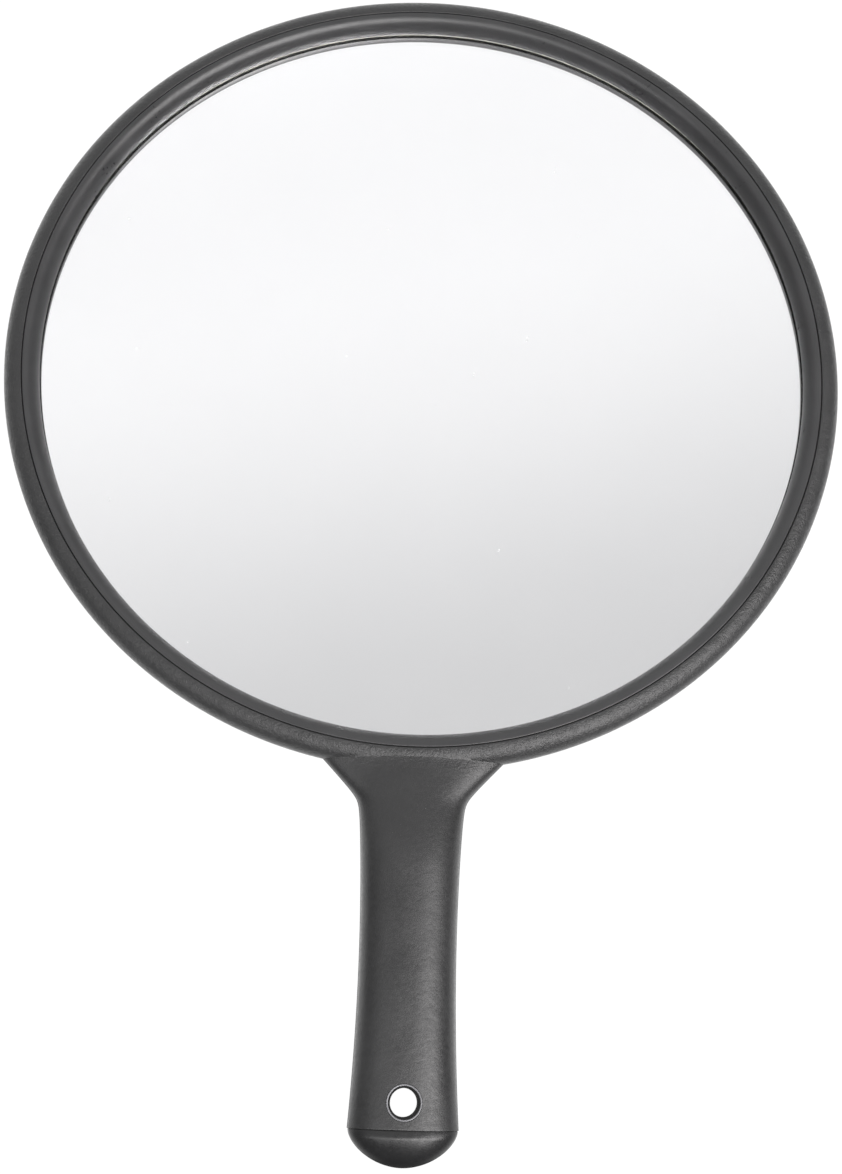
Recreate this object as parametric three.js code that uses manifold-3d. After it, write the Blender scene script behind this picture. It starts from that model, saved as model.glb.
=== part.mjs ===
// Round salon hand mirror with a hollow handle and a hang hole, lying on its back.
// Millimetres. Origin: centre of the head on the flat back. +Z: out of the mirror's face.
// +Y: from the handle towards the top of the head. +X: to the right, seen from the front.

import * as THREE from 'three';
import { mergeVertices } from 'three/addons/utils/BufferGeometryUtils.js';
import Module from 'manifold-3d';

const wasm = await Module();
wasm.setup();

// ---------------------------------------------------------------- driving dimensions

// Head: an open pan whose edge is a rounded bead.
const HEAD_RADIUS = 122.5;
const RIM_MID_HEIGHT = 7.8;      // height of the bead's widest line above the back
const BEAD_WIDTH = 5.0;          // from the widest line in to the bead's crest
const BEAD_RISE = 4.3;           // from the widest line up to the crest
const BACK_EDGE_RADIUS = 114;    // where the flat back starts to curve up
const BACK_GROOVE_RADIUS = 104;  // shallow ring groove round the flat back
const BACK_GROOVE_WIDTH = 1.6;
const BACK_GROOVE_DEPTH = 0.5;
const PAN_FLOOR = 2.4;           // thickness of the back

// Layers that lie in the pan, from the floor up.
const PAD_THICKNESS = 2.5;
const PAINT_THICKNESS = 0.1;
const SILVER_THICKNESS = 0.1;
const GLASS_THICKNESS = 1.5;
const GLASS_RADIUS = 113.8;
const GLASS_ARRIS = 0.25;        // small ground chamfer on both edges of the glass
const SILVER_MARGIN = 0.6;       // bare margin between the silver and the glass's edge
const PAINT_MARGIN = 0.4;
const PAD_MARGIN = 3.3;

// Bezel ring: its front curves down to an upright lip on the glass, and its skirt snaps
// into a channel in the pan.
const BEZEL_OUTER_RADIUS = 116.75;
const BEZEL_LIP_RADIUS = 112.5;
const BEZEL_LIP_HEIGHT = 0.3;    // straight foot of the lip above the glass
const BEZEL_CREST_HEIGHT = 11.95;
const BEZEL_SHOULDER = 0.4;      // rounding of the outer edge beside the seam
const SKIRT_THICKNESS = 1.35;
const SKIRT_BOTTOM = 4.0;
const CHANNEL_BOTTOM = 3.6;

// Handle: an oval hollow grip that flares into the head.
const HANDLE_MID_HEIGHT = 7.5;
const GRIP_HALF_THICKNESS = 7.5;
const WAIST_HALF_WIDTH = 12.7;
const WAIST_Y = -172;
const END_HALF_WIDTH = 14.2;
const SEAM_Y = -215.5;           // joint between the handle and its end cap
const NECK_Y = -118.5;           // end of the handle inside the rim
const NECK_FRONT_RISE = 4.3;     // crown above the mid height, where the handle meets the rim
const NECK_BACK_DROP = 5.9;
const GRIP_FULL_Y = -150;        // where the grip has its full thickness
const FLARE_Y = -130.9;          // where the side webs bend outwards
const FLARE_SLOPE = 0.88;
const FLARE_BLEND = 2.0;
const HANDLE_WALL = 2.2;
const CAVITY_TOP_Y = -128;
const OVAL_POWER = 2.3;          // 2 is an ellipse, more is squarer

// End cap: a dome with a tongue that plugs the handle.
const CAP_DEPTH = 9.25;
const CAP_CURVE = 1.6;
const CAP_FULLNESS = 1.9;
const TONGUE_TOP_Y = -200;

// Hang hole and the eyelet that lines it.
const HOLE_Y = -208.8;
const EYELET_BORE_RADIUS = 3.6;
const EYELET_BODY_RADIUS = 4.15;
const EYELET_FLANGE_RADIUS = 4.6;
const EYELET_FLANGE_THICKNESS = 0.8;
const EYELET_INSET = 0.2;        // the flanges lie just under the handle's crown

// Clearances and fineness.
const GAP = 0.3;
const PAST = 1;                  // how far a cutting shape runs past what it cuts
const HEAD_SEGMENTS = 84;
const EYELET_SEGMENTS = 20;
const LOFT_SEGMENTS = 28;
const ARC_STEPS = 5;
const MERGE_TOLERANCE = 1e-4;

// Heights and radii that follow from the sizes above.
const PAINT_BOTTOM = PAN_FLOOR + PAD_THICKNESS;
const SILVER_BOTTOM = PAINT_BOTTOM + PAINT_THICKNESS;
const GLASS_BOTTOM = SILVER_BOTTOM + SILVER_THICKNESS;
const GLASS_TOP = GLASS_BOTTOM + GLASS_THICKNESS;
const RIM_CREST_HEIGHT = RIM_MID_HEIGHT + BEAD_RISE;
const SEAT_RADIUS = BEZEL_OUTER_RADIUS + GAP;
const SKIRT_INNER_RADIUS = BEZEL_OUTER_RADIUS - SKIRT_THICKNESS;
const GRIP_TOP = HANDLE_MID_HEIGHT + GRIP_HALF_THICKNESS;
const GRIP_BOTTOM = HANDLE_MID_HEIGHT - GRIP_HALF_THICKNESS;

// ---------------------------------------------------------------- solids and geometries

// Makes a closed geometry into a solid that can be joined and cut.
function solidFrom(geometry) {
  geometry.deleteAttribute('normal');
  geometry.deleteAttribute('uv');
  const merged = mergeVertices(geometry, MERGE_TOLERANCE);
  const corners = merged.index.array;
  const triangles = [];
  for (let i = 0; i < corners.length; i += 3) {
    const [a, b, c] = corners.slice(i, i + 3);
    if (a !== b && b !== c && c !== a) {
      triangles.push(a, b, c);
    }
  }
  return new wasm.Manifold(new wasm.Mesh({
    numProp: 3,
    vertProperties: merged.attributes.position.array,
    triVerts: new Uint32Array(triangles),
  }));
}

function geometryFrom(solid) {
  const mesh = solid.getMesh();
  const geometry = new THREE.BufferGeometry();
  geometry.setAttribute('position', new THREE.BufferAttribute(mesh.vertProperties, 3));
  geometry.setIndex(new THREE.BufferAttribute(mesh.triVerts, 1));
  geometry.computeVertexNormals();
  return geometry;
}

// Turns a profile of (radius, height) points about the Z axis. The profile runs
// up its outside and back down its inside, or starts and ends on the axis.
function revolve(profile, segments = HEAD_SEGMENTS) {
  const geometry = new THREE.LatheGeometry(profile.getPoints(ARC_STEPS), segments);
  geometry.rotateX(Math.PI / 2);
  return solidFrom(geometry);
}

function disc(radius, bottom, top) {
  const profile = new THREE.Path()
    .moveTo(0, bottom)
    .lineTo(radius, bottom)
    .lineTo(radius, top)
    .lineTo(0, top);
  return revolve(profile);
}

function upright(radius, bottom, top) {
  const geometry = new THREE.CylinderGeometry(radius, radius, top - bottom, EYELET_SEGMENTS);
  geometry.rotateX(Math.PI / 2);
  geometry.translate(0, HOLE_Y, (bottom + top) / 2);
  return solidFrom(geometry);
}

// One coordinate of a point on a unit oval, from the same coordinate on a unit circle.
function ovalCoordinate(circleCoordinate) {
  return Math.sign(circleCoordinate) * Math.abs(circleCoordinate) ** (2 / OVAL_POWER);
}

// A body along Y through oval sections. yAt gives each row's place for a share of 0 to 1,
// and sectionAt gives the half width, the rise in front and the drop behind at that place.
function loft(rows, yAt, sectionAt) {
  const geometry = new THREE.CylinderGeometry(1, 1, 1, LOFT_SEGMENTS, rows);
  const position = geometry.attributes.position;
  for (let i = 0; i < position.count; i++) {
    const y = yAt(position.getY(i) + 0.5);
    const section = sectionAt(y);
    const across = ovalCoordinate(position.getX(i));
    const upward = ovalCoordinate(position.getZ(i));
    const reach = upward > 0 ? section.rise : section.drop;
    position.setXYZ(i, section.halfWidth * across, y, HANDLE_MID_HEIGHT + reach * upward);
  }
  return solidFrom(geometry);
}

// ---------------------------------------------------------------- the handle's form

function gripHalfWidth(y) {
  const share = (y - WAIST_Y) / (SEAM_Y - WAIST_Y);
  return WAIST_HALF_WIDTH + (END_HALF_WIDTH - WAIST_HALF_WIDTH) * share ** 2;
}

// Extra half width of the webs that run out to the rim: straight, with a soft bend.
function flareWidth(y) {
  const along = y - FLARE_Y;
  return FLARE_SLOPE * (along + Math.hypot(along, FLARE_BLEND)) / 2;
}

function handleSection(y) {
  const full = THREE.MathUtils.smoothstep(-y, -NECK_Y, -GRIP_FULL_Y);
  return {
    halfWidth: gripHalfWidth(y) + flareWidth(y),
    rise: THREE.MathUtils.lerp(NECK_FRONT_RISE, GRIP_HALF_THICKNESS, full),
    drop: THREE.MathUtils.lerp(NECK_BACK_DROP, GRIP_HALF_THICKNESS, full),
  };
}

// The handle's section made smaller all round, for its cavity and the cap's tongue.
function insetSection(y, inset) {
  const section = handleSection(y);
  return {
    halfWidth: gripHalfWidth(y) - inset,
    rise: section.rise - inset,
    drop: section.drop - inset,
  };
}

function capSection(y) {
  const depth = Math.min((SEAM_Y - y) / CAP_DEPTH, 1);
  const scale = (1 - depth ** CAP_CURVE) ** (1 / CAP_FULLNESS);
  return {
    halfWidth: END_HALF_WIDTH * scale,
    rise: GRIP_HALF_THICKNESS * scale,
    drop: GRIP_HALF_THICKNESS * scale,
  };
}

// ---------------------------------------------------------------- sub-parts

function headBody() {
  const groove = BACK_GROOVE_WIDTH / 2;
  const profile = new THREE.Path()
    .moveTo(0, 0)
    .lineTo(BACK_GROOVE_RADIUS - groove, 0)
    .lineTo(BACK_GROOVE_RADIUS, BACK_GROOVE_DEPTH)
    .lineTo(BACK_GROOVE_RADIUS + groove, 0)
    .lineTo(BACK_EDGE_RADIUS, 0)
    .absellipse(BACK_EDGE_RADIUS, RIM_MID_HEIGHT, HEAD_RADIUS - BACK_EDGE_RADIUS,
      RIM_MID_HEIGHT, -Math.PI / 2, 0, false, 0)
    .absellipse(HEAD_RADIUS - BEAD_WIDTH, RIM_MID_HEIGHT, BEAD_WIDTH, BEAD_RISE,
      0, Math.PI / 2, false, 0)
    .lineTo(0, RIM_CREST_HEIGHT);
  return revolve(profile);
}

// The room in the pan for the pad, the glass and the bezel ring's skirt.
function panRoom() {
  const glassWall = GLASS_RADIUS + GAP;
  const ribOuter = SKIRT_INNER_RADIUS - GAP;
  const ribTop = GLASS_TOP - GAP;
  const profile = new THREE.Path()
    .moveTo(0, PAN_FLOOR)
    .lineTo(glassWall, PAN_FLOOR)
    .lineTo(glassWall, ribTop)
    .lineTo(ribOuter, ribTop)
    .lineTo(ribOuter, CHANNEL_BOTTOM)
    .lineTo(SEAT_RADIUS, CHANNEL_BOTTOM)
    .lineTo(SEAT_RADIUS, RIM_CREST_HEIGHT + PAST)
    .lineTo(0, RIM_CREST_HEIGHT + PAST);
  return revolve(profile);
}

function handleBody() {
  const end = SEAM_Y + GAP / 2;
  const denserAtNeck = (share) => end + (NECK_Y - end) * (1 - (1 - share) ** 1.7);
  return loft(18, denserAtNeck, handleSection);
}

function handleCavity() {
  const mouth = SEAM_Y - PAST;
  const even = (share) => mouth + (CAVITY_TOP_Y - mouth) * share;
  return loft(7, even, (y) => insetSection(y, HANDLE_WALL));
}

// A through hole with a counterbore for a flange in both faces of the handle.
function eyeletRoom() {
  const seatDepth = EYELET_INSET + EYELET_FLANGE_THICKNESS + GAP;
  const bore = upright(EYELET_BODY_RADIUS + GAP, GRIP_BOTTOM - PAST, GRIP_TOP + PAST);
  const frontSeat = upright(EYELET_FLANGE_RADIUS + GAP, GRIP_TOP - seatDepth, GRIP_TOP + PAST);
  const backSeat = upright(EYELET_FLANGE_RADIUS + GAP, GRIP_BOTTOM - PAST, GRIP_BOTTOM + seatDepth);
  return bore.add(frontSeat).add(backSeat);
}

function frame() {
  return headBody()
    .add(handleBody())
    .subtract(panRoom())
    .subtract(handleCavity())
    .subtract(eyeletRoom());
}

function bezelRing() {
  const lipTop = GLASS_TOP + BEZEL_LIP_HEIGHT;
  const crestRadius = BEZEL_OUTER_RADIUS - BEZEL_SHOULDER;
  const profile = new THREE.Path()
    .moveTo(SKIRT_INNER_RADIUS, SKIRT_BOTTOM)
    .lineTo(BEZEL_OUTER_RADIUS, SKIRT_BOTTOM)
    .lineTo(BEZEL_OUTER_RADIUS, BEZEL_CREST_HEIGHT - BEZEL_SHOULDER)
    .absellipse(crestRadius, lipTop, crestRadius - BEZEL_LIP_RADIUS,
      BEZEL_CREST_HEIGHT - lipTop, Math.PI / 2, Math.PI, false, 0)
    .lineTo(BEZEL_LIP_RADIUS, GLASS_TOP)
    .lineTo(SKIRT_INNER_RADIUS, GLASS_TOP)
    .lineTo(SKIRT_INNER_RADIUS, SKIRT_BOTTOM);
  return revolve(profile);
}

function mirrorGlass() {
  const face = GLASS_RADIUS - GLASS_ARRIS;
  const profile = new THREE.Path()
    .moveTo(0, GLASS_BOTTOM)
    .lineTo(face, GLASS_BOTTOM)
    .lineTo(GLASS_RADIUS, GLASS_BOTTOM + GLASS_ARRIS)
    .lineTo(GLASS_RADIUS, GLASS_TOP - GLASS_ARRIS)
    .lineTo(face, GLASS_TOP)
    .lineTo(0, GLASS_TOP);
  return revolve(profile);
}

function endCap() {
  const start = SEAM_Y - GAP / 2;
  const tip = SEAM_Y - CAP_DEPTH;
  const denserAtTip = (share) => tip + (start - tip) * (1 - Math.cos(share * Math.PI / 2));
  const dome = loft(9, denserAtTip, capSection);
  const tongueFoot = start - PAST;
  const even = (share) => tongueFoot + (TONGUE_TOP_Y - tongueFoot) * share;
  const tongue = loft(4, even, (y) => insetSection(y, HANDLE_WALL + GAP));
  const crossHole = upright(EYELET_BODY_RADIUS + GAP, GRIP_BOTTOM, GRIP_TOP);
  return dome.add(tongue).subtract(crossHole);
}

function hangEyelet() {
  const bottom = GRIP_BOTTOM + EYELET_INSET;
  const top = GRIP_TOP - EYELET_INSET;
  const lip = EYELET_BODY_RADIUS - EYELET_BORE_RADIUS;
  const profile = new THREE.Path()
    .absarc(EYELET_BODY_RADIUS, bottom + lip, lip, Math.PI, Math.PI * 1.5, false)
    .lineTo(EYELET_FLANGE_RADIUS, bottom)
    .lineTo(EYELET_FLANGE_RADIUS, bottom + EYELET_FLANGE_THICKNESS)
    .lineTo(EYELET_BODY_RADIUS, bottom + EYELET_FLANGE_THICKNESS)
    .lineTo(EYELET_BODY_RADIUS, top - EYELET_FLANGE_THICKNESS)
    .lineTo(EYELET_FLANGE_RADIUS, top - EYELET_FLANGE_THICKNESS)
    .lineTo(EYELET_FLANGE_RADIUS, top)
    .absarc(EYELET_BODY_RADIUS, top - lip, lip, Math.PI / 2, Math.PI, false)
    .lineTo(EYELET_BORE_RADIUS, bottom + lip);
  return revolve(profile, EYELET_SEGMENTS).translate(0, HOLE_Y, 0);
}

// ---------------------------------------------------------------- the assembly

const mirror = new THREE.Group();

function addPart(name, solid, color, roughness, metalness = 0) {
  const material = new THREE.MeshStandardMaterial({ color, roughness, metalness });
  const mesh = new THREE.Mesh(geometryFrom(solid), material);
  mesh.name = name;
  mirror.add(mesh);
}

addPart('frame', frame(), 0x2b2b2c, 0.5);
addPart('bezel_ring', bezelRing(), 0x2d2d2e, 0.45);
addPart('mirror_glass', mirrorGlass(), 0xe6f0ec, 0.02);
addPart('silver_coat', disc(GLASS_RADIUS - SILVER_MARGIN, SILVER_BOTTOM, GLASS_BOTTOM), 0xf0f1f2, 0.03, 1);
addPart('backing_paint', disc(GLASS_RADIUS - PAINT_MARGIN, PAINT_BOTTOM, SILVER_BOTTOM), 0x4a4f55, 0.7);
addPart('cushion_pad', disc(GLASS_RADIUS - PAD_MARGIN, PAN_FLOOR, PAINT_BOTTOM), 0x1c1c1d, 0.95);
addPart('end_cap', endCap(), 0x29292a, 0.42);
addPart('hang_eyelet', hangEyelet(), 0x252526, 0.35);

export default mirror;
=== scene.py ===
"""Round salon hand mirror lying on its back on a pale floor, seen from above its handle."""
import math

import bmesh
import bpy
from mathutils import Matrix, Quaternion, Vector


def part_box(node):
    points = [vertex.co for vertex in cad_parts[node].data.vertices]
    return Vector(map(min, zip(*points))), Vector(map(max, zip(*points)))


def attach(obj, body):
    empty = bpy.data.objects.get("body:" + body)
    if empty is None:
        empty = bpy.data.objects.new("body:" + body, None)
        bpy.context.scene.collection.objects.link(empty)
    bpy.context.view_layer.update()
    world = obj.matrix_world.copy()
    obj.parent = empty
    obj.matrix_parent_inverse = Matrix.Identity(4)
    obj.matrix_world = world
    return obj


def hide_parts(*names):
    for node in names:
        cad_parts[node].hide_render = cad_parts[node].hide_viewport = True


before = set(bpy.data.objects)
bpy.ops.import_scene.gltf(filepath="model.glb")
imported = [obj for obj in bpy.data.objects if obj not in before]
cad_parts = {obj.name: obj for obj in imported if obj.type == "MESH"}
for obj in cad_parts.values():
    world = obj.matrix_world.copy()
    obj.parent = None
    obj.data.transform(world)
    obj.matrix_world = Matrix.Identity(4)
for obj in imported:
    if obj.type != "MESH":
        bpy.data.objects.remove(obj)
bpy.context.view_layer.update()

MM = 0.001

# ---------------------------------------------------------------- sizes, from the frame

frame_low, frame_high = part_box("frame")
bezel_low, bezel_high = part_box("bezel_ring")
glass_low, glass_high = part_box("mirror_glass")
pad_low, pad_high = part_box("cushion_pad")
cap_low, cap_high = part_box("end_cap")
eyelet_low, eyelet_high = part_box("hang_eyelet")

GAP = 0.3 * MM                       # clearance between neighbouring mouldings
HEAD_RADIUS = frame_high.x
GRIP_TOP = frame_high.z
GRIP_MID = GRIP_TOP / 2
SEAM_Y = frame_low.y - GAP / 2       # joint between the handle and its cap
HOLE_Y = (eyelet_low.y + eyelet_high.y) / 2

RIM_MID = 7.8 * MM                   # height of the bead's widest line
BEAD_WIDTH = 5.0 * MM
BEAD_RISE = 4.3 * MM
BACK_EDGE_RADIUS = 114 * MM
BACK_GROOVE_RADIUS = 104 * MM
BACK_GROOVE_HALF_WIDTH = 0.8 * MM
BACK_GROOVE_DEPTH = 0.5 * MM
PAN_FLOOR = pad_low.z
BEZEL_RADIUS = bezel_high.x
BEZEL_CREST = bezel_high.z
LIP_RADIUS = 112.5 * MM
LIP_HEIGHT = 0.3 * MM
SKIRT = 1.35 * MM
CHANNEL_BOTTOM = bezel_low.z - 0.4 * MM
GLASS_RADIUS = glass_high.x
ARRIS = 0.25 * MM                    # chamfer of the glass's edges
SOFT_CORNER = 0.3 * MM               # rounding of small moulded corners
SEAT_CORNER = 0.35 * MM
RIB_CORNER = 0.2 * MM
LIP_CORNER = 0.05 * MM

WAIST_Y = -172 * MM
WAIST_HALF_WIDTH = 12.7 * MM
END_HALF_WIDTH = 14.2 * MM
NECK_Y = -118.5 * MM
NECK_RISE = 4.3 * MM
NECK_DROP = 5.9 * MM
GRIP_FULL_Y = -150 * MM
FLARE_Y = -130.9 * MM
FLARE_SLOPE = 0.88
FLARE_BLEND = 2.0 * MM
WALL = 2.2 * MM
CAVITY_TOP_Y = -128 * MM
OVAL_POWER = 2.3
MOULD_LINE = 0.16 * MM               # height of the fine line where the mould halves met
EDGE = 0.16 * MM                     # rounding of the moulded edges at the seam
SEAM_GAP = 0.08 * MM
GROOVE_GAP = 0.09 * MM               # visible gap between the bead and the bezel ring
RING_SHIFT = 0.05 * MM               # the bezel ring sits a little towards the top of the head
HAIRLINE = 0.02 * MM                 # air left between faces that would touch
CAVITY_MOUTH = 1 * MM                # how far in the handle's wall has its full thickness
SHOULDER = 0.4 * MM                  # rounding of the bezel ring's outer edge

CAP_CURVE = 1.6
CAP_FULLNESS = 1.9
COLLAR_DROP = 0.66 * MM              # how far the cap's rim lies below the handle's front
COLLAR_SIDE_DROP = 0.06 * MM
COLLAR_LENGTH = 1.9 * MM

EYELET_BORE = 3.6 * MM
EYELET_BODY = 4.15 * MM
EYELET_FLANGE = eyelet_high.x
FLANGE_THICKNESS = 0.8 * MM
EYELET_GAP = 0.08 * MM
THROAT_MOUTH = 4.12 * MM             # radius where the lining's rim turns down into the hole
THROAT_DEPTH = 2.6 * MM

HEAD_SEGMENTS = 288
PAD_SEGMENTS = 144
SMALL_SEGMENTS = 72
OVAL_POINTS = 72
MOULD_LINE_DEG = 1.4                 # half the mould line's width, as an angle round the section
ARC_STEPS = 16
FRONT_STEPS = 30
EYELET_STEPS = 14
HANDLE_ROWS = 96
HANDLE_ROW_POWER = 1.35              # over 1, so that rows are closer together at the neck
CAVITY_ROWS = 30
TONGUE_ROWS = 8
DOME_ROWS = 44


# ---------------------------------------------------------------- mesh building

def make_object(name, verts, faces):
    mesh = bpy.data.meshes.new(name)
    mesh.from_pydata(verts, [], faces)
    work = bmesh.new()
    work.from_mesh(mesh)
    bmesh.ops.recalc_face_normals(work, faces=work.faces)
    work.to_mesh(mesh)
    work.free()
    piece = bpy.data.objects.new(name, mesh)
    bpy.context.scene.collection.objects.link(piece)
    return piece


def smooth(piece, sharp_deg=32):
    """Smooth shading with hard edges only where the surface turns by more than sharp_deg."""
    piece.data.shade_smooth()
    piece.data.set_sharp_from_angle(angle=math.radians(sharp_deg))


def elliptic_arc(centre, radii, start_deg, end_deg, steps):
    points = []
    for k in range(steps + 1):
        angle = math.radians(start_deg + (end_deg - start_deg) * k / steps)
        r = centre[0] + radii[0] * math.cos(angle)
        z = centre[1] + radii[1] * math.sin(angle)
        points.append((r, z))
    return points


def rounded(corners, steps=5):
    """A profile from (r, z) or (r, z, rounding) corners. A rounding is a length of both sides."""
    points = []
    for i, corner in enumerate(corners):
        here = Vector(corner[:2])
        if len(corner) < 3:
            points.append((here.x, here.y))
            continue
        before = Vector(corners[i - 1][:2])
        after = Vector(corners[(i + 1) % len(corners)][:2])
        start = here + (before - here).normalized() * corner[2]
        end = here + (after - here).normalized() * corner[2]
        for k in range(steps + 1):
            t = k / steps
            spot = start * (1 - t) ** 2 + here * 2 * t * (1 - t) + end * t ** 2
            points.append((spot.x, spot.y))
    return points


def revolve(name, profile, segments, centre=(0.0, 0.0)):
    """Turns a profile about a Z line through centre. It closes on itself or ends on the axis."""
    verts, rings = [], []
    for r, z in profile:
        if r < 1e-9:
            rings.append([len(verts)])
            verts.append((centre[0], centre[1], z))
            continue
        rings.append(list(range(len(verts), len(verts) + segments)))
        for k in range(segments):
            turn = 2 * math.pi * k / segments
            verts.append((centre[0] + r * math.cos(turn), centre[1] + r * math.sin(turn), z))
    if len(rings[0]) > 1:
        rings.append(rings[0])
    faces = []
    for low, high in zip(rings, rings[1:]):
        for k in range(segments):
            after = (k + 1) % segments
            if len(low) == 1:
                faces.append((low[0], high[after], high[k]))
            elif len(high) == 1:
                faces.append((low[k], low[after], high[0]))
            else:
                faces.append((low[k], low[after], high[after], high[k]))
    return make_object(name, verts, faces)


def skin(name, rings):
    """Joins rings of equally many points, and closes the first and the last with a cap."""
    count = len(rings[0])
    verts = [point for ring in rings for point in ring]
    faces = [tuple(reversed(range(count)))]
    for row in range(len(rings) - 1):
        low, high = row * count, (row + 1) * count
        for k in range(count):
            after = (k + 1) % count
            faces.append((low + k, low + after, high + after, high + k))
    faces.append(tuple(range(len(verts) - count, len(verts))))
    return make_object(name, verts, faces)


def combine(piece, tool, operation):
    """Joins the tool to the piece or cuts it away, and removes the tool."""
    modifier = piece.modifiers.new("combine", "BOOLEAN")
    modifier.operation = operation
    modifier.object = tool
    modifier.solver = "EXACT"
    graph = bpy.context.evaluated_depsgraph_get()
    result = bpy.data.meshes.new_from_object(piece.evaluated_get(graph))
    piece.modifiers.clear()
    piece.data = result
    bpy.data.objects.remove(tool)


# ---------------------------------------------------------------- the handle's form

def oval_angles():
    """Angles round a section, with a close pair beside each mould line."""
    angles = [360 * k / OVAL_POINTS for k in range(OVAL_POINTS)]
    for side in (0, 180):
        angles += [(side + turn) % 360 for turn in (-MOULD_LINE_DEG, MOULD_LINE_DEG)]
    return [math.radians(a) for a in sorted(angles)]


def oval_coordinate(value):
    return math.copysign(abs(value) ** (2 / OVAL_POWER), value) if abs(value) > 1e-9 else 0.0


def oval_ring(y, half_width, rise, drop, line=0.0):
    ring = []
    for angle in oval_angles():
        across = oval_coordinate(math.cos(angle))
        upward = oval_coordinate(math.sin(angle))
        reach = rise if upward > 0 else drop
        width = half_width + (line if abs(math.sin(angle)) < 1e-6 else 0.0)
        ring.append((width * across, y, GRIP_MID + reach * upward))
    return ring


def smoothstep(value, low, high):
    t = min(max((value - low) / (high - low), 0.0), 1.0)
    return t * t * (3 - 2 * t)


def grip_half_width(y):
    share = (y - WAIST_Y) / (SEAM_Y - WAIST_Y)
    return WAIST_HALF_WIDTH + (END_HALF_WIDTH - WAIST_HALF_WIDTH) * share ** 2


def flare_width(y):
    along = y - FLARE_Y
    return FLARE_SLOPE * (along + math.hypot(along, FLARE_BLEND)) / 2


def handle_heights(y):
    full = smoothstep(-y, -NECK_Y, -GRIP_FULL_Y)
    rise = NECK_RISE + (GRIP_MID - NECK_RISE) * full
    drop = NECK_DROP + (GRIP_MID - NECK_DROP) * full
    return rise, drop


def handle_ring(y, inset=0.0, line=0.0):
    rise, drop = handle_heights(y)
    flare = flare_width(y) if inset == 0.0 else 0.0
    return oval_ring(y, grip_half_width(y) + flare - inset, rise - inset, drop - inset, line)


def spread(start, end, rows, power=1.0):
    """Places from start to end, closer together near start for a power over 1."""
    return [start + (end - start) * (k / rows) ** power for k in range(rows + 1)]


# ---------------------------------------------------------------- pieces

def head_profile():
    back = [
        (0, 0),
        (BACK_GROOVE_RADIUS - BACK_GROOVE_HALF_WIDTH, 0, SOFT_CORNER),
        (BACK_GROOVE_RADIUS, BACK_GROOVE_DEPTH, SOFT_CORNER),
        (BACK_GROOVE_RADIUS + BACK_GROOVE_HALF_WIDTH, 0, SOFT_CORNER),
        (BACK_EDGE_RADIUS, 0),
    ]
    back_arc = elliptic_arc((BACK_EDGE_RADIUS, RIM_MID), (HEAD_RADIUS - BACK_EDGE_RADIUS, RIM_MID),
                            -90, 0, ARC_STEPS)
    bead_arc = elliptic_arc((HEAD_RADIUS - BEAD_WIDTH, RIM_MID), (BEAD_WIDTH, BEAD_RISE),
                            0, 88, ARC_STEPS)
    seat = BEZEL_RADIUS + GROOVE_GAP
    rib_outer = BEZEL_RADIUS - SKIRT - GAP
    rib_inner = GLASS_RADIUS + GAP
    rib_top = glass_high.z - GAP
    pan = [
        bead_arc[-1],
        (seat, RIM_MID + BEAD_RISE, SEAT_CORNER),
        (seat, CHANNEL_BOTTOM),
        (rib_outer, CHANNEL_BOTTOM),
        (rib_outer, rib_top, RIB_CORNER),
        (rib_inner, rib_top, RIB_CORNER),
        (rib_inner, PAN_FLOOR),
        (0, PAN_FLOOR),
    ]
    return rounded(back)[:-1] + back_arc[:-1] + bead_arc[:-1] + rounded(pan)


def handle_shell():
    """The hollow handle: outside from the rim to the seam, round its edge and back up inside."""
    end = SEAM_Y + SEAM_GAP / 2
    places = spread(NECK_Y, end + EDGE, HANDLE_ROWS, HANDLE_ROW_POWER)
    rings = [handle_ring(y, line=MOULD_LINE) for y in places]
    rings.insert(-1, handle_ring(end + EDGE * 2, line=MOULD_LINE))
    rings.append(handle_ring(end + EDGE * 0.3, inset=EDGE * 0.3))
    rings.append(handle_ring(end, inset=EDGE))
    rings.append(handle_ring(end, inset=WALL))
    inside = spread(end + CAVITY_MOUTH, CAVITY_TOP_Y, CAVITY_ROWS)
    rings += [handle_ring(y, inset=WALL) for y in inside]
    return skin("handle", rings)


def eyelet_room(name):
    """A cutter for the through hole and the seats of both flanges."""
    past = 2 * MM
    seat = FLANGE_THICKNESS + GAP
    wide = EYELET_FLANGE + EYELET_GAP
    narrow = EYELET_BODY + GAP
    profile = [
        (0, -past),
        (wide, -past),
        (wide, eyelet_low.z + seat),
        (narrow, eyelet_low.z + seat),
        (narrow, eyelet_high.z - seat),
        (wide, eyelet_high.z - seat),
        (wide, GRIP_TOP + past),
        (0, GRIP_TOP + past),
    ]
    return revolve(name, profile, SMALL_SEGMENTS, (0, HOLE_Y))


def build_frame():
    body = revolve("frame_moulding", head_profile(), HEAD_SEGMENTS)
    combine(body, handle_shell(), "UNION")
    combine(body, eyelet_room("frame_cutter"), "DIFFERENCE")
    smooth(body)
    return body


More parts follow.
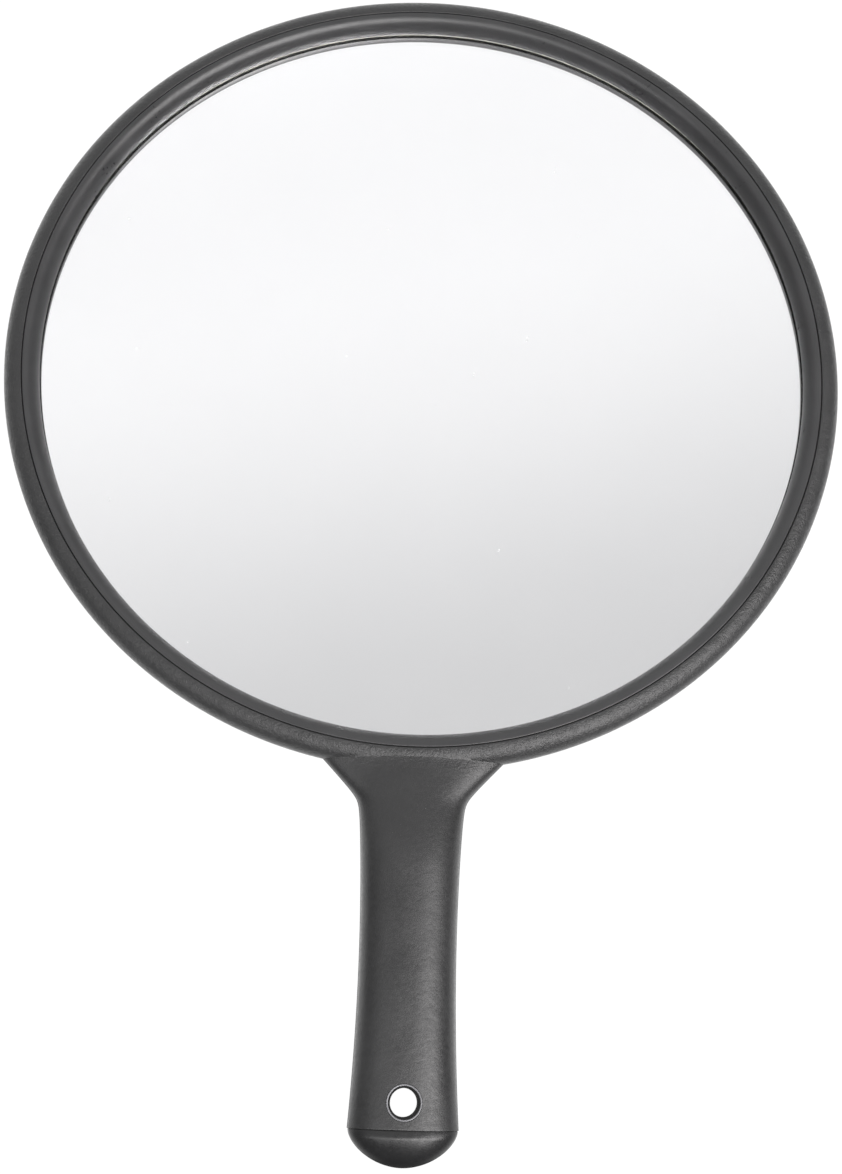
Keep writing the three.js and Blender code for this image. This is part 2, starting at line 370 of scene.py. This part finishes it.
def build_bezel():
    """The snap-in ring: a skirt, a rounded crest and a front that curves down to the glass."""
    crest = BEZEL_RADIUS - SHOULDER
    inner = BEZEL_RADIUS - SKIRT
    glass_top = glass_high.z + HAIRLINE
    lip_top = glass_high.z + LIP_HEIGHT
    front = elliptic_arc((crest, lip_top), (crest - LIP_RADIUS, BEZEL_CREST - lip_top),
                         88, 180, FRONT_STEPS)
    outside = [
        (inner, bezel_low.z, SOFT_CORNER),
        (BEZEL_RADIUS, bezel_low.z, SOFT_CORNER),
        (BEZEL_RADIUS, BEZEL_CREST, SHOULDER),
        front[0],
    ]
    underside = [
        front[-1],
        (LIP_RADIUS, glass_top, LIP_CORNER),
        (inner, glass_top),
        (inner, bezel_low.z + 1 * MM),
    ]
    profile = rounded(outside)[:-1] + front[:-1] + rounded(underside)
    piece = revolve("bezel_moulding", profile, HEAD_SEGMENTS, (0, RING_SHIFT))
    smooth(piece)
    return piece


def build_glass():
    bottom = glass_low.z + HAIRLINE
    top = glass_high.z
    face = GLASS_RADIUS - ARRIS
    profile = [(0, bottom), (face, bottom), (GLASS_RADIUS, bottom + ARRIS),
               (GLASS_RADIUS, top - ARRIS), (face, top), (0, top)]
    piece = revolve("glass_pane", profile, HEAD_SEGMENTS)
    smooth(piece, 20)
    return piece


def build_cap():
    """The plug: a tongue inside the handle, a collar that rises from the seam, and a dome."""
    start = SEAM_Y - SEAM_GAP / 2
    depth = SEAM_Y - cap_low.y
    tongue_inset = WALL + SEAM_GAP
    places = spread(cap_high.y, start + GAP, TONGUE_ROWS)
    rings = [handle_ring(y, inset=tongue_inset) for y in places]
    rings.append(handle_ring(start, inset=tongue_inset))
    rings.append(handle_ring(start, inset=COLLAR_DROP + EDGE))
    for k in range(DOME_ROWS):
        turn = math.radians(90 * (k + 0.4) / DOME_ROWS)
        along = math.sin(turn) ** (2 / CAP_CURVE)
        scale = math.cos(turn) ** (2 / CAP_FULLNESS)
        sunk = max(1 - along * depth / COLLAR_LENGTH, 0.0)
        half_width = END_HALF_WIDTH * scale - COLLAR_SIDE_DROP * sunk
        half_height = GRIP_MID * scale - COLLAR_DROP * sunk
        rings.append(oval_ring(SEAM_Y - depth * along, half_width, half_height, half_height))
    piece = skin("cap_moulding", rings)
    combine(piece, eyelet_room("cap_cutter"), "DIFFERENCE")
    smooth(piece)
    return piece


def build_eyelet():
    """The hole's lining: a thin rounded rim at each end and a throat that narrows to the bore."""
    rim = (EYELET_FLANGE - THROAT_MOUTH) / 2
    rim_middle = EYELET_FLANGE - rim
    upper = elliptic_arc((rim_middle, GRIP_TOP - rim), (rim, rim), 0, 180, EYELET_STEPS)
    lower = elliptic_arc((rim_middle, rim), (rim, rim), 180, 360, EYELET_STEPS)
    low, high = eyelet_low.z + FLANGE_THICKNESS, eyelet_high.z - FLANGE_THICKNESS
    inside = [(EYELET_BORE, GRIP_TOP - THROAT_DEPTH), (EYELET_BORE, THROAT_DEPTH)]
    outside = [(EYELET_FLANGE, low), (EYELET_BODY, low), (EYELET_BODY, high), (EYELET_FLANGE, high)]
    profile = lower + outside + upper + inside
    piece = revolve("eyelet_lining", profile, SMALL_SEGMENTS, (0, HOLE_Y))
    smooth(piece)
    return piece


def build_pad():
    profile = rounded([(0, pad_low.z), (pad_high.x, pad_low.z, SOFT_CORNER),
                       (pad_high.x, pad_high.z, SOFT_CORNER), (0, pad_high.z)])
    piece = revolve("cushion_foam", profile, PAD_SEGMENTS)
    smooth(piece)
    return piece


# ---------------------------------------------------------------- materials

RIM_HIGHLIGHT_PALENESS = 17                   # how many times paler the eyelet's rim is painted: a painted highlight on its rounded crown
RIM_HIGHLIGHT_FADE = 0.12 * MM                # height over which the rim's painted highlight fades in
FINE_GRAIN = 0.34 * MM
COARSE_GRAIN = 1.1 * MM
FLOW_WAVE = 9 * MM
HANDLING_BLOTCH = 14 * MM
PLASTIC_IOR = 1.5
GLASS_IOR = 1.52
SMEAR_SIZE = 30 * MM
DUST_SPACING = 14 * MM
FOAM_CELL = 0.6 * MM
CALM_FADE = 5 * MM                   # length over which shallow relief grows to its full depth


def new_material(name):
    material = bpy.data.materials.new(name)
    material.use_nodes = True
    material.node_tree.nodes.clear()
    return material, material.node_tree


def add_node(tree, kind, inputs=None, **settings):
    made = tree.nodes.new(kind)
    for key, value in settings.items():
        setattr(made, key, value)
    for key, value in (inputs or {}).items():
        if isinstance(value, bpy.types.NodeSocket):
            tree.links.new(value, made.inputs[key])
        else:
            made.inputs[key].default_value = value
    return made


def ramp(tree, value, low, high, out_low, out_high):
    return add_node(tree, "ShaderNodeMapRange", {
        "Value": value, "From Min": low, "From Max": high, "To Min": out_low, "To Max": out_high,
    }).outputs["Result"]


def noise(tree, place, feature, detail=2.0, roughness=0.5):
    """Noise whose features are about the given size in metres."""
    return add_node(tree, "ShaderNodeTexNoise", {
        "Vector": place, "Scale": 1 / feature, "Detail": detail, "Roughness": roughness,
    }).outputs["Fac"]


def calculate(tree, operation, first, second):
    """The sum, product, larger and so on of two values."""
    return add_node(tree, "ShaderNodeMath", {0: first, 1: second}, operation=operation).outputs[0]


def scaled(tree, colour, factor):
    """A colour made darker or lighter by a factor."""
    made = add_node(tree, "ShaderNodeVectorMath", {0: colour, "Scale": factor}, operation="SCALE")
    return made.outputs["Vector"]


def object_place(tree):
    return add_node(tree, "ShaderNodeTexCoord").outputs["Object"]


def output(tree, surface):
    add_node(tree, "ShaderNodeOutputMaterial", {"Surface": surface})


def moulded_plastic(name, colour, roughness, grain, highlight_from=None, calm_to=None):
    """Black moulded plastic: fine eroded grain, faint flow marks, and handling sheen. The fifth
    argument is a height above which the colour is painted pale, as a painted highlight on a rounded
    rim, and calm_to a place along Y up to which the relief is shallower."""
    material, tree = new_material(name)
    place = object_place(tree)
    blotch = noise(tree, place, HANDLING_BLOTCH, 3)
    fine = noise(tree, place, FINE_GRAIN, 2)
    coarse = noise(tree, place, COARSE_GRAIN, 3, 0.6)
    wave = noise(tree, place, FLOW_WAVE, 2)
    shade = ramp(tree, blotch, 0.3, 0.7, 0.88, 1.12)
    spot = add_node(tree, "ShaderNodeSeparateXYZ", {0: place})
    if highlight_from is not None:
        # painted highlight: above the given height the colour is painted many times paler
        painted_highlight = ramp(tree, spot.outputs["Z"], highlight_from, highlight_from + RIM_HIGHLIGHT_FADE, 1.0, RIM_HIGHLIGHT_PALENESS)
        shade = calculate(tree, "MULTIPLY", shade, painted_highlight)
    handling = ramp(tree, blotch, 0.3, 0.7, roughness - 0.04, roughness + 0.04)
    texture = ramp(tree, coarse, 0.35, 0.65, -0.05, 0.05)
    bump = None
    for relief, depth, calm in ((fine, 1.3, 0.15), (coarse, 2, 0.3), (wave, 4, 0.5)):
        step = {"Height": relief, "Strength": 1.0, "Distance": grain * depth}
        if calm_to is not None:
            full_at = calm_to + CALM_FADE
            step["Strength"] = ramp(tree, spot.outputs["Y"], calm_to, full_at, calm, 1.0)
        if bump is not None:
            step["Normal"] = bump
        bump = add_node(tree, "ShaderNodeBump", step).outputs["Normal"]
    surface = add_node(tree, "ShaderNodeBsdfPrincipled", {
        "Base Color": scaled(tree, colour, shade),
        "Roughness": calculate(tree, "ADD", handling, texture),
        "IOR": PLASTIC_IOR,
        "Normal": bump,
    })
    output(tree, surface.outputs["BSDF"])
    return material


def clear_glass():
    """Float glass with a faint film and a few specks. Shadow and diffuse rays pass unbent."""
    material, tree = new_material("float_glass")
    place = object_place(tree)
    smear = noise(tree, place, SMEAR_SIZE, 4, 0.6)
    glass = add_node(tree, "ShaderNodeBsdfGlass", {
        "Color": (0.99, 0.99, 0.992, 1), "Roughness": 0.0, "IOR": GLASS_IOR,
    })
    dust = add_node(tree, "ShaderNodeTexVoronoi", {"Vector": place, "Scale": 1 / DUST_SPACING})
    speck = ramp(tree, dust.outputs["Distance"], 0.012, 0.02, 0.5, 0.0)
    film = ramp(tree, smear, 0.45, 0.75, 0.0, 0.006)
    cover = calculate(tree, "MAXIMUM", speck, film)
    dull = add_node(tree, "ShaderNodeBsdfDiffuse", {"Color": (0.7, 0.7, 0.7, 1)})
    dusty = add_node(tree, "ShaderNodeMixShader", {
        0: cover, 1: glass.outputs["BSDF"], 2: dull.outputs["BSDF"],
    })
    path = add_node(tree, "ShaderNodeLightPath")
    straight = calculate(tree, "MAXIMUM",
                         path.outputs["Is Shadow Ray"], path.outputs["Is Diffuse Ray"])
    open_way = add_node(tree, "ShaderNodeBsdfTransparent")
    mixed = add_node(tree, "ShaderNodeMixShader", {
        0: straight, 1: dusty.outputs[0], 2: open_way.outputs[0],
    })
    output(tree, mixed.outputs[0])
    return material


def ground_edge():
    """The glass's ground edge, which scatters light and looks pale with a slight green cast."""
    material, tree = new_material("ground_glass_edge")
    place = object_place(tree)
    streak = noise(tree, place, 2.5 * MM, 3)
    shade = ramp(tree, streak, 0.3, 0.7, 0.85, 1.1)
    surface = add_node(tree, "ShaderNodeBsdfPrincipled", {
        "Base Color": scaled(tree, (0.74, 0.74, 0.64), shade), "Roughness": 0.55,
    })
    output(tree, surface.outputs["BSDF"])
    return material


def silvering():
    material, tree = new_material("silvering")
    place = object_place(tree)
    cloud = noise(tree, place, 40 * MM, 2)
    shade = ramp(tree, cloud, 0.3, 0.7, 0.995, 1.005)
    surface = add_node(tree, "ShaderNodeBsdfPrincipled", {
        "Base Color": scaled(tree, (0.95, 0.95, 0.955), shade), "Metallic": 1.0, "Roughness": 0.0,
    })
    output(tree, surface.outputs["BSDF"])
    return material


def backing_paint():
    material, tree = new_material("grey_backing_paint")
    place = object_place(tree)
    cloud = noise(tree, place, 6 * MM, 3)
    shade = ramp(tree, cloud, 0.3, 0.7, 0.85, 1.15)
    bump = add_node(tree, "ShaderNodeBump", {"Height": cloud, "Distance": 0.03 * MM})
    surface = add_node(tree, "ShaderNodeBsdfPrincipled", {
        "Base Color": scaled(tree, (0.07, 0.08, 0.1), shade), "Roughness": 0.6,
        "Normal": bump.outputs["Normal"],
    })
    output(tree, surface.outputs["BSDF"])
    return material


def foam():
    material, tree = new_material("black_foam")
    place = object_place(tree)
    cells = add_node(tree, "ShaderNodeTexVoronoi", {"Vector": place, "Scale": 1 / FOAM_CELL})
    shade = ramp(tree, cells.outputs["Distance"], 0.0, 0.8, 0.6, 1.3)
    bump = add_node(tree, "ShaderNodeBump", {
        "Height": cells.outputs["Distance"], "Distance": 0.15 * MM,
    })
    surface = add_node(tree, "ShaderNodeBsdfPrincipled", {
        "Base Color": scaled(tree, (0.012, 0.012, 0.013), shade), "Roughness": 0.95,
        "Normal": bump.outputs["Normal"],
    })
    output(tree, surface.outputs["BSDF"])
    return material


def painted_shade_underside():
    """The bezel ring's underside, painted near black and given little gloss as painted shade; it is
    seen only as a dark line in its own reflection.
    """
    material, tree = new_material("bezel_underside_painted_shade")
    place = object_place(tree)
    cloud = noise(tree, place, 3 * MM, 2)
    shade = ramp(tree, cloud, 0.3, 0.7, 0.7, 1.3)
    surface = add_node(tree, "ShaderNodeBsdfPrincipled", {
        "Base Color": scaled(tree, (0.004, 0.004, 0.004), shade), "Roughness": 0.9,
        "Specular IOR Level": 0.1,
    })
    output(tree, surface.outputs["BSDF"])
    return material


def dress(piece, *materials):
    piece.data.materials.clear()
    for material in materials:
        piece.data.materials.append(material)


def place_piece(piece, node, slot, *materials):
    dress(piece, *materials)
    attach(piece, "root")
    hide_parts(node)


# ---------------------------------------------------------------- the object

FACES_DOWN = -0.7                    # steepness from which a face counts as facing the glass
FACES_FLAT = 0.95                    # and from which one counts as the glass's flat front or back
# height from which the eyelet's rim is painted pale, as a painted highlight on its crown
RIM_HIGHLIGHT_HEIGHT = GRIP_TOP - 0.22 * MM
GRIP_GRAIN_END_Y = NECK_Y - 5 * MM   # the grip's grain is shallower than the head's

frame_plastic = moulded_plastic("frame_plastic", (0.0145, 0.0145, 0.015), 0.39, 0.09 * MM,
                                calm_to=GRIP_GRAIN_END_Y)
bezel_plastic = moulded_plastic("bezel_plastic", (0.024, 0.024, 0.025), 0.35, 0.016 * MM)
cap_plastic = moulded_plastic("cap_plastic", (0.008, 0.008, 0.0085), 0.33, 0.015 * MM)
eyelet_plastic = moulded_plastic("eyelet_plastic", (0.009, 0.009, 0.0095), 0.24, 0.003 * MM,
                                 highlight_from=RIM_HIGHLIGHT_HEIGHT)

place_piece(build_frame(), "frame", "frame_plastic", frame_plastic)
bezel_moulding = build_bezel()
place_piece(bezel_moulding, "bezel_ring", "bezel_plastic", bezel_plastic, painted_shade_underside())
# faces under the bezel ring that face the glass get the painted shade
for polygon in bezel_moulding.data.polygons:
    faces_glass = polygon.normal.z < FACES_DOWN and polygon.center.z > glass_high.z
    polygon.material_index = 1 if faces_glass else 0
place_piece(build_cap(), "end_cap", "cap_plastic", cap_plastic)
place_piece(build_eyelet(), "hang_eyelet", "eyelet_plastic", eyelet_plastic)
place_piece(build_pad(), "cushion_pad", "foam", foam())

glass_pane = build_glass()
place_piece(glass_pane, "mirror_glass", "glass", clear_glass(), ground_edge())
for polygon in glass_pane.data.polygons:
    polygon.material_index = 0 if abs(polygon.normal.z) > FACES_FLAT else 1

dress(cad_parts["silver_coat"], silvering())
dress(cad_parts["backing_paint"], backing_paint())


# ---------------------------------------------------------------- floor, light and camera

PALE = 1.0                           # brightness of the floor and the backdrop for the camera
FLOOR_CAST = (0.08, 1.7)             # glow on the object, in the handle's shadow and beside it
FLOOR_SIZE = 6.0                     # half the floor's side
FLOOR_DROP = 0.4 * MM
TOUCHING = 2 * MM                    # surfaces nearer than this see through the floor
SHADOW_HALF_WIDTH = 9 * MM
SHADOW_FADE = 8 * MM
SHADOW_END_FADE = 20 * MM            # the handle's shadow fades out this far before the head
FLOOR_DARK_Y = -260 * MM
FLOOR_BRIGHT_Y = -200 * MM


def build_floor():
    """A pale lit table just under the mirror. It lets light and sight through from below, and to
    surfaces that nearly touch it, so that the mirror's back can be seen from underneath."""
    corners = [(x * FLOOR_SIZE, y * FLOOR_SIZE, -FLOOR_DROP)
               for x, y in ((-1, -1), (1, -1), (1, 1), (-1, 1))]
    floor = make_object("floor", corners, [(0, 1, 2, 3)])
    material, tree = new_material("pale_floor")
    path = add_node(tree, "ShaderNodeLightPath")
    spot = add_node(tree, "ShaderNodeSeparateXYZ", {0: object_place(tree)})
    aside = add_node(tree, "ShaderNodeMath", {0: spot.outputs["X"]}, operation="ABSOLUTE")
    shadow_edge = SHADOW_HALF_WIDTH + SHADOW_FADE
    beside = ramp(tree, aside.outputs[0], SHADOW_HALF_WIDTH, shadow_edge, 0.0, 1.0)
    by_head = ramp(tree, spot.outputs["Y"], NECK_Y - SHADOW_END_FADE, NECK_Y, 0.0, 1.0)
    clear = calculate(tree, "MAXIMUM", beside, by_head)
    behind_end = ramp(tree, spot.outputs["Y"], FLOOR_DARK_Y, FLOOR_BRIGHT_Y, 0.0, 1.0)
    lit = calculate(tree, "MULTIPLY", clear, behind_end)
    cast = ramp(tree, lit, 0.0, 1.0, FLOOR_CAST[0], FLOOR_CAST[1])
    glow = add_node(tree, "ShaderNodeMix", {
        0: path.outputs["Is Camera Ray"], 2: cast, 3: PALE,
    }).outputs[0]
    dull = add_node(tree, "ShaderNodeBsdfPrincipled", {
        "Base Color": (0.03, 0.03, 0.03, 1), "Roughness": 1.0, "Specular IOR Level": 0.0,
        "Emission Color": (1, 1, 1, 1), "Emission Strength": glow,
    })
    open_way = add_node(tree, "ShaderNodeBsdfTransparent")
    near = calculate(tree, "LESS_THAN", path.outputs["Ray Length"], TOUCHING)
    behind = add_node(tree, "ShaderNodeNewGeometry").outputs["Backfacing"]
    see_through = calculate(tree, "MAXIMUM", near, behind)
    mixed = add_node(tree, "ShaderNodeMixShader", {
        0: see_through, 1: dull.outputs[0], 2: open_way.outputs[0],
    })
    output(tree, mixed.outputs[0])
    floor.data.materials.append(material)


DIM_ROOM = 0.25                      # brightness of the room where no wall or ceiling adds to it


def lobe(tree, direction, axis, low, high, gain):
    """Brightness that grows from 0 to gain as the cosine to the axis goes from low to high."""
    lean = add_node(tree, "ShaderNodeVectorMath", {0: direction, 1: axis},
                    operation="DOT_PRODUCT").outputs["Value"]
    return add_node(tree, "ShaderNodeMapRange", {
        "Value": lean, "From Min": low, "From Max": high, "To Min": 0.0, "To Max": gain,
    }, interpolation_type="SMOOTHSTEP").outputs["Result"]


def build_world():
    """A dim room with a pale ceiling and a bright wall beyond the mirror's head. Sharp reflections
    also see pale walls all round, so that the mirror looks bright from low angles too, and the
    camera sees a backdrop as pale as the floor."""
    world = bpy.data.worlds.new("studio")
    world.use_nodes = True
    tree = world.node_tree
    tree.nodes.clear()
    direction = add_node(tree, "ShaderNodeTexCoord").outputs["Generated"]
    up = (0, 0, 1)
    down = (0, 0, -1)
    beyond = (-0.229, 0.973, 0.0)
    total = DIM_ROOM
    for axis, low, high, gain in (
        (up, 0.52, 0.82, 0.458),
        (beyond, 0.191, 0.45, 0.338),
        (beyond, 0.5, 0.95, 0.6),
        (down, 0.0, 0.6, 0.5),
    ):
        part = lobe(tree, direction, axis, low, high, gain)
        total = calculate(tree, "ADD", part, total)
    path = add_node(tree, "ShaderNodeLightPath")
    low_walls = lobe(tree, direction, up, 0.78, 0.45, 0.42)
    walls = calculate(tree, "MULTIPLY", path.outputs["Is Singular Ray"], low_walls)
    strength = add_node(tree, "ShaderNodeMix", {
        0: path.outputs["Is Camera Ray"], 2: calculate(tree, "ADD", walls, total), 3: PALE,
    }).outputs[0]
    sky = add_node(tree, "ShaderNodeBackground", {"Color": (1, 1, 1, 1), "Strength": strength})
    add_node(tree, "ShaderNodeOutputWorld", {"Surface": sky.outputs["Background"]})
    bpy.context.scene.world = world


def add_softbox(name, spot, aim, size, power, tint=(1, 1, 1)):
    light = bpy.data.lights.new(name, "AREA")
    light.shape = "RECTANGLE"
    light.size, light.size_y = size
    light.energy = power
    light.color = tint
    lamp = bpy.data.objects.new(name, light)
    lamp.location = spot
    lamp.rotation_euler = (Vector(aim) - Vector(spot)).to_track_quat("-Z", "Y").to_euler()
    bpy.context.scene.collection.objects.link(lamp)


def build_camera():
    """A normal lens above the hang hole, tipped up the handle towards the head."""
    spot = Vector((-12.4, -204.6, 446.4)) * MM
    aim = Vector((0.8, -70.1, 7.8)) * MM
    roll_deg = 1.6
    forward = (aim - spot).normalized()
    right = forward.cross(Vector((0, 1, 0))).normalized()
    up = right.cross(forward)
    basis = Matrix((right, up, -forward)).transposed()
    turn = Quaternion(forward, math.radians(-roll_deg)).to_matrix()
    lens = bpy.data.cameras.new("camera")
    lens.lens = 49.9
    lens.sensor_width = 36
    lens.clip_start = 0.01
    camera = bpy.data.objects.new("camera", lens)
    camera.matrix_world = Matrix.Translation(spot) @ (turn @ basis).to_4x4()
    bpy.context.scene.collection.objects.link(camera)
    bpy.context.scene.camera = camera


def build_lights():
    """A large key light to the right of the handle's end, and a weak fill light to its left."""
    distance = 1.5
    key_way = Vector((0.416, -0.416, 0.809))
    fill_way = Vector((-0.337, -0.48, 0.81))
    aim = (0, -0.05, 0)
    add_softbox("key_softbox", key_way * distance, aim, (1.25, 1.0), 32.0, (1, 0.98, 0.98))
    add_softbox("fill_softbox", fill_way * distance, aim, (0.9, 0.8), 5.2)


build_floor()
build_world()
build_lights()
build_camera()
bpy.context.scene.view_settings.view_transform = "Standard"

bpy.context.view_layer.update()
